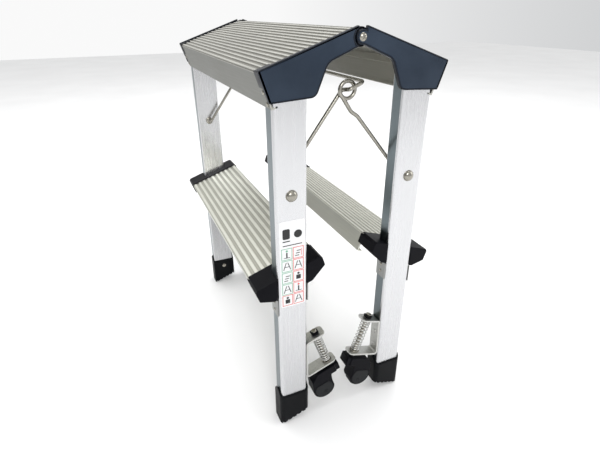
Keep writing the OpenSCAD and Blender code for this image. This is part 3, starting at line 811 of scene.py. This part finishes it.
def bracket(name, quarter):
    """Pressed steel bracket: one strip bent to a back plate and two rounded flanges."""
    thick = 2.0
    mid = thick / 2
    upper = FLANGE_HI + mid
    lower = FLANGE_LO - mid
    back = LEG_IN - mid
    run = ON_STEM.to_3x3() @ Vector((1, 0, 0))

    def flange_point(x, z):
        return ON_STEM @ Vector((x, 0, z))

    def meets_back(z):
        start = flange_point(0, z)
        return start + run * ((back - start.x) / run.x)

    spine = [flange_point(-12.2, upper), meets_back(upper), meets_back(lower), flange_point(-12.2, lower)]
    path = rounded(spine, [0, 3.2, 3.2, 0], 6)
    bm = bmesh.new()
    outer, inner = [], []
    for i, p in enumerate(path):
        before, after = path[max(i - 1, 0)], path[min(i + 1, len(path) - 1)]
        along = (after - before).normalized()
        side = Vector((along.z, 0, -along.x)) * mid
        outer.append((p + side).xz)
        inner.append((p - side).xz)
    outline = [tuple(v) for v in outer + inner[::-1]]
    near, far, _ = prism(bm, outline, -Y_MID - BRACKET_HALF, -Y_MID + BRACKET_HALF)
    tips = []
    last = len(outer) - 1
    for ring in (near, far):
        for a, b in ((ring[0], ring[-1]), (ring[last], ring[last + 1])):
            edge = bm.edges.get((a, b))
            if edge:
                tips.append(edge)
    bmesh.ops.bevel(bm, geom=tips, offset=5.5, offset_type="OFFSET", segments=6, profile=0.5,
                    affect="EDGES", clamp_overlap=False)
    bevel_sharp(bm, 0.3, 50)
    for z in BRACKET_RIVET_Z:
        lathe(bm, dome(7.4, 1.6, 5), pointing((LEG_IN - thick, -Y_MID, z), (-1, 0, 0)), 24)
    node = "bracket_" + name
    stands_for(piece(node + "_strip", bm, ZINC, quarter), node)


def stem(name, quarter):
    """Stem with its collar and peened end, and the black retainer on the upper flange."""
    bm = bmesh.new()
    r = STEM_D / 2
    top = FLANGE_HI + 9
    profile = [(0, -34), (r, -34), (r, FLANGE_LO + 0.4), (COLLAR_R - 0.2, FLANGE_LO + 0.4),
               (COLLAR_R, FLANGE_LO + 0.7), (COLLAR_R, FLANGE_LO + 1.9),
               (COLLAR_R - 0.2, FLANGE_LO + 2.2), (r, FLANGE_LO + 2.2), (r, top - 2.2),
               (3.6, top - 2.0), (3.8, top - 1.2), (3.2, top - 0.3), (2.0, top), (0, top)]
    lathe(bm, profile, ON_STEM, 32)
    node = "stem_" + name
    stands_for(piece(node + "_pin", bm, RIVET_STEEL, quarter), node)
    cap = bmesh.new()
    outline = rounded_outline([(-4.75, -4.75), (4.75, -4.75), (4.75, 4.75), (-4.75, 4.75)], 2.2, 5)
    low, high = FLANGE_HI + 2.4, FLANGE_HI + 5.6
    prism(cap, outline, -high, -low, ON_STEM @ Matrix.Rotation(-math.pi / 2, 4, "X"))
    bevel_sharp(cap, 0.5)
    goes_with(piece(node + "_retainer", cap, BLACK_PLASTIC, quarter), node)


def spring(name, quarter):
    """Coil spring of round wire with closed end turns, on a mesh of its own."""
    low = FLANGE_LO + 2.3 + SPRING_WIRE / 2
    high = FLANGE_HI - 0.1 - SPRING_WIRE / 2
    steps = SPRING_TURNS * 18
    points = []
    for i in range(steps + 1):
        t = i / steps
        ease = t - 0.055 * math.sin(2 * math.pi * t)
        a = 2 * math.pi * SPRING_TURNS * t
        height = low + (high - low) * ease
        points.append(ON_STEM @ Vector((SPRING_R * math.cos(a), SPRING_R * math.sin(a), height)))
    bm = bmesh.new()
    sweep(bm, points, SPRING_WIRE / 2, sides=10)
    node = "spring_" + name
    obj = stands_for(piece(node + "_coil", bm, SPRING_STEEL, quarter, weighted=False), node)
    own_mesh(obj)


def hood(name, quarter):
    """Swivel hood with the shape of its CAD solid, and a raised panel and axle cap on each side."""
    node = "hood_" + name
    refined(node, BLACK_PLASTIC, 0.9, 3)
    panel = bmesh.new()
    half = HOOD_W / 2
    shape = rounded_outline(arc(TRAIL + 1, -60, 13.6, 48, -228, 26), 1.0, 3)
    centre = ON_STEM @ Vector((TRAIL, 0, -WHEEL_DROP))
    for s in (-1, 1):
        y = -Y_MID + s * half
        prism(panel, shape, y - 0.5, y + 0.5, stem_plane())
        lathe(panel, [(0, -0.5), (3.1, -0.5), (3.1, 0.7), (2.7, 1.0), (1.4, 1.0), (1.2, 0.4), (0, 0.4)],
              pointing((centre.x, y, centre.z), (0, s, 0)), 28)
    bevel_sharp(panel, 0.2, 50)
    goes_with(piece(node + "_panel", panel, WHEEL_RUBBER, quarter), node)


def stem_plane():
    """The stem's frame for shapes whose y is already in place."""
    flat = STEM_BASE.copy()
    flat.y = 0
    return Matrix.Translation(flat) @ Matrix.Rotation(FOLD, 4, "Y")


def wheel(name, quarter):
    """Castor wheel with a recessed hub, rounded edges and a shallow groove round its tread."""
    bm = bmesh.new()
    r, h = WHEEL_D / 2, WHEEL_W / 2
    side = [(2.6, h - 0.5), (4.2, h), (4.7, h - 0.2), (5.1, h - 1), (8.3, h - 1), (8.8, h - 0.3), (9.3, h),
            (r - 1.6, h), (r - 0.5, h - 0.4), (r, h - 1.3), (r, 1.0), (r - 0.5, 0.5)]
    profile = side + [(x, -z) for x, z in side[::-1]] + [side[0]]
    centre = ON_STEM @ Vector((TRAIL, 0, -WHEEL_DROP))
    lathe(bm, profile, pointing(centre, (0, 1, 0)), 56)
    bmesh.ops.remove_doubles(bm, verts=bm.verts, dist=0.001)
    node = "wheel_" + name
    stands_for(piece(node + "_disc", bm, WHEEL_RUBBER, quarter), node)


# ---------- label ----------

FILM_T = 0.3
INK_T = 0.05


def tile(bm, x0, z0, x1, z1, y, thick, radius=0.0):
    """A flat printed patch on the front of the left leg."""
    outline = [(x0, z0), (x1, z0), (x1, z1), (x0, z1)]
    if radius:
        outline = rounded_outline(outline, radius, 5)
    prism(bm, outline, y - thick, y)


def outline_box(bm, x0, z0, x1, z1, y, thick, line):
    """Four thin printed lines round a cell."""
    tile(bm, x0, z0, x1, z0 + line, y, thick)
    tile(bm, x0, z1 - line, x1, z1, y, thick)
    tile(bm, x0, z0 + line, x0 + line, z1 - line, y, thick)
    tile(bm, x1 - line, z0 + line, x1, z1 - line, y, thick)


def label():
    """Sticker with a block and a disc above two columns of framed cells, a small shape in each."""
    x0, x1 = LABEL_LOW.x, LABEL_HIGH.x
    z0, z1 = LABEL_LOW.z, LABEL_HIGH.z
    base = -Y_LEG
    film = bmesh.new()
    tile(film, x0, z0, x1, z1, base, FILM_T, 3)
    stands_for(piece("label_film", film, FILM_WHITE), "label")
    inks = {"black": bmesh.new(), "green": bmesh.new(), "red": bmesh.new()}
    face = base - FILM_T + 0.01
    margin, gap, line = 2.0, 0.8, 0.85
    rows = 5
    cell_h = 16.2
    cell_w = (x1 - x0 - 2 * margin - gap) / 2
    for column, frame_ink in ((0, "green"), (1, "red")):
        for row in range(rows):
            cx0 = x0 + margin + column * (cell_w + gap)
            cz0 = z0 + margin + row * cell_h
            ink = "red" if row == 0 else frame_ink
            outline_box(inks[ink], cx0, cz0, cx0 + cell_w, cz0 + cell_h - gap, face, INK_T, line)
            symbol(inks, cx0 + cell_w / 2, cz0 + (cell_h - gap) / 2, row * 2 + column, face, ink)
    top = z0 + margin + rows * cell_h
    tile(inks["black"], x0 + 4, top + 7.5, x0 + 13, top + 9.0, face, INK_T)
    tile(inks["black"], x0 + 4, top + 11, x0 + 13, top + 24, face, INK_T, 2)
    tile(inks["black"], x0 + 18, top + 11, x0 + 28, top + 21, face, INK_T, 4.9)
    tile(inks["black"], x0 + 4, top + 2.2, x1 - 4, top + 3.4, face, INK_T)
    materials = {"black": INK_BLACK, "green": INK_GREEN, "red": INK_RED}
    for ink, bm in inks.items():
        goes_with(piece("label_" + ink, bm, materials[ink], weighted=False), "label")


def symbol(inks, x, z, kind, face, ink):
    """One small shape: two struts with a crossbar, a square or a post under a dot, or three bars."""
    black = inks["black"]
    lean = 1.1
    if kind % 5 in (1, 2):
        for s in (-1, 1):
            strut = [(x + s * 0.4, z + 5), (x + s * (0.4 + lean), z + 5), (x + s * 5, z - 5),
                     (x + s * 3.9, z - 5)]
            prism(black, strut, face - INK_T, face)
        tile(black, x - 2.6, z - 1.3, x + 2.6, z - 0.5, face, INK_T)
    elif kind % 5 == 0:
        tile(black, x - 3, z - 4.5, x + 3, z + 1.5, face, INK_T, 0.8)
        tile(black, x - 1.6, z + 2.2, x + 1.6, z + 5.2, face, INK_T, 1.5)
    elif kind % 5 == 3:
        tile(black, x - 0.9, z - 5, x + 0.9, z + 2.2, face, INK_T, 0.6)
        tile(black, x - 4, z - 5.2, x + 4, z - 4.4, face, INK_T)
        tile(inks[ink], x - 1.4, z + 2.8, x + 1.4, z + 5.6, face, INK_T, 1.3)
    else:
        for i in range(3):
            tile(black, x - 4 + i, z - 4.5 + i * 3.2, x + 1 + i, z - 3.4 + i * 3.2, face, INK_T)
        tile(inks[ink], x + 3.4, z - 4.5, x + 4.2, z + 4.5, face, INK_T)


# ---------- assembly ----------

for quarter_name, signs in QUARTERS.items():
    leg(quarter_name, signs)
    cheek(quarter_name, signs)
    refined("foot_" + quarter_name, FOOT_PLASTIC, 0.5, 3)
    refined("step_cap_" + quarter_name, BLACK_PLASTIC, 0.7, 3)
    bracket(quarter_name, signs)
    stem(quarter_name, signs)
    spring(quarter_name, signs)
    hood(quarter_name, signs)
    wheel(quarter_name, signs)

for side_name, sign in SIDES.items():
    tread(side_name, sign)
    step(side_name, sign)
    foot_screws(side_name, sign)
    rivets(side_name, sign)

for end_name, sign in (("front", -1), ("rear", 1)):
    hinge_nut(end_name)
    stay_link(end_name, sign)

stay_bail()
label()


# ---------- floor, light and camera ----------


def floor():
    """Plain pale floor that reaches past the view."""
    reach = 6.0
    mesh = bpy.data.meshes.new("floor")
    mesh.from_pydata([(-reach, -reach, 0), (reach, -reach, 0), (reach, reach, 0), (-reach, reach, 0)], [],
                     [(0, 1, 2, 3)])
    obj = bpy.data.objects.new("floor", mesh)
    bpy.context.scene.collection.objects.link(obj)
    material, tree, shader = new_material("floor_paint")
    cloud = stretched_noise(tree, 3.0, (1, 1, 1), 3.0)
    tree.links.new(ramp(tree, cloud, (0.84, 0.84, 0.84), (0.88, 0.88, 0.88)), shader.inputs["Base Color"])
    shader.inputs["Roughness"].default_value = 0.9
    mesh.materials.append(material)


def area_light(name, place, target, size, watts, colour=(1, 1, 1)):
    """A soft square light that looks at a point."""
    data = bpy.data.lights.new(name, "AREA")
    data.size = size
    data.energy = watts
    data.color = colour
    obj = bpy.data.objects.new(name, data)
    bpy.context.scene.collection.objects.link(obj)
    obj.location = place
    obj.rotation_euler = (Vector(target) - Vector(place)).to_track_quat("-Z", "Y").to_euler()


def sky(front, side, strength):
    """Soft light from all round, a little weaker from the two sides, with plain white kept white."""
    world = bpy.data.worlds.new("studio")
    world.use_nodes = True
    tree = world.node_tree
    background = tree.nodes["Background"]
    direction = tree.nodes.new("ShaderNodeTexCoord")
    split = tree.nodes.new("ShaderNodeSeparateXYZ")
    tree.links.new(direction.outputs["Generated"], split.inputs[0])
    size = tree.nodes.new("ShaderNodeMath")
    size.operation = "ABSOLUTE"
    tree.links.new(split.outputs["X"], size.inputs[0])
    blend = ramp(tree, size.outputs[0], front, side, 0.35, 0.95)
    tree.links.new(blend, background.inputs["Color"])
    background.inputs["Strength"].default_value = strength
    bpy.context.scene.world = world
    bpy.context.scene.view_settings.view_transform = "Standard"


def camera(place, yaw, pitch, roll, lens):
    """Camera from its place and angles: yaw from +Y towards +X, pitch below the horizon."""
    forward = Vector((math.sin(yaw) * math.cos(pitch), math.cos(yaw) * math.cos(pitch), -math.sin(pitch)))
    level = Vector((math.cos(yaw), -math.sin(yaw), 0))
    down = forward.cross(level)
    right = level * math.cos(roll) + down * math.sin(roll)
    up = level * math.sin(roll) - down * math.cos(roll)
    data = bpy.data.cameras.new("camera")
    data.lens = lens
    data.sensor_width = 36.0
    data.clip_start = 0.01
    obj = bpy.data.objects.new("camera", data)
    bpy.context.scene.collection.objects.link(obj)
    axes = Matrix((right, up, -forward)).transposed().to_4x4()
    obj.matrix_world = Matrix.Translation(place) @ axes
    bpy.context.scene.camera = obj


CENTRE = (0, 0, 0.28)
SKY_FRONT, SKY_SIDE, SKY_STRENGTH = (1.0, 1.0, 1.0), (0.60, 0.61, 0.62), 0.95
# name, place in metres, size in metres, watts
LIGHTS = (
    ("key", (-0.7, -2.2, 1.6), 0.9, 22),
    ("top", (0.2, 0.6, 2.6), 2.4, 55),
    ("fill", (1.9, -0.9, 1.0), 1.5, 14),
)
CAMERA_PLACE = (-0.2380, -0.5993, 0.5284)
CAMERA_YAW, CAMERA_PITCH, CAMERA_ROLL = 23.5224, 26.7085, 0.3748
CAMERA_LENS = 25.54

floor()
sky(SKY_FRONT, SKY_SIDE, SKY_STRENGTH)
for light_name, light_place, light_size, light_watts in LIGHTS:
    area_light(light_name, light_place, CENTRE, light_size, light_watts)
camera(CAMERA_PLACE, math.radians(CAMERA_YAW), math.radians(CAMERA_PITCH), math.radians(CAMERA_ROLL),
       CAMERA_LENS)
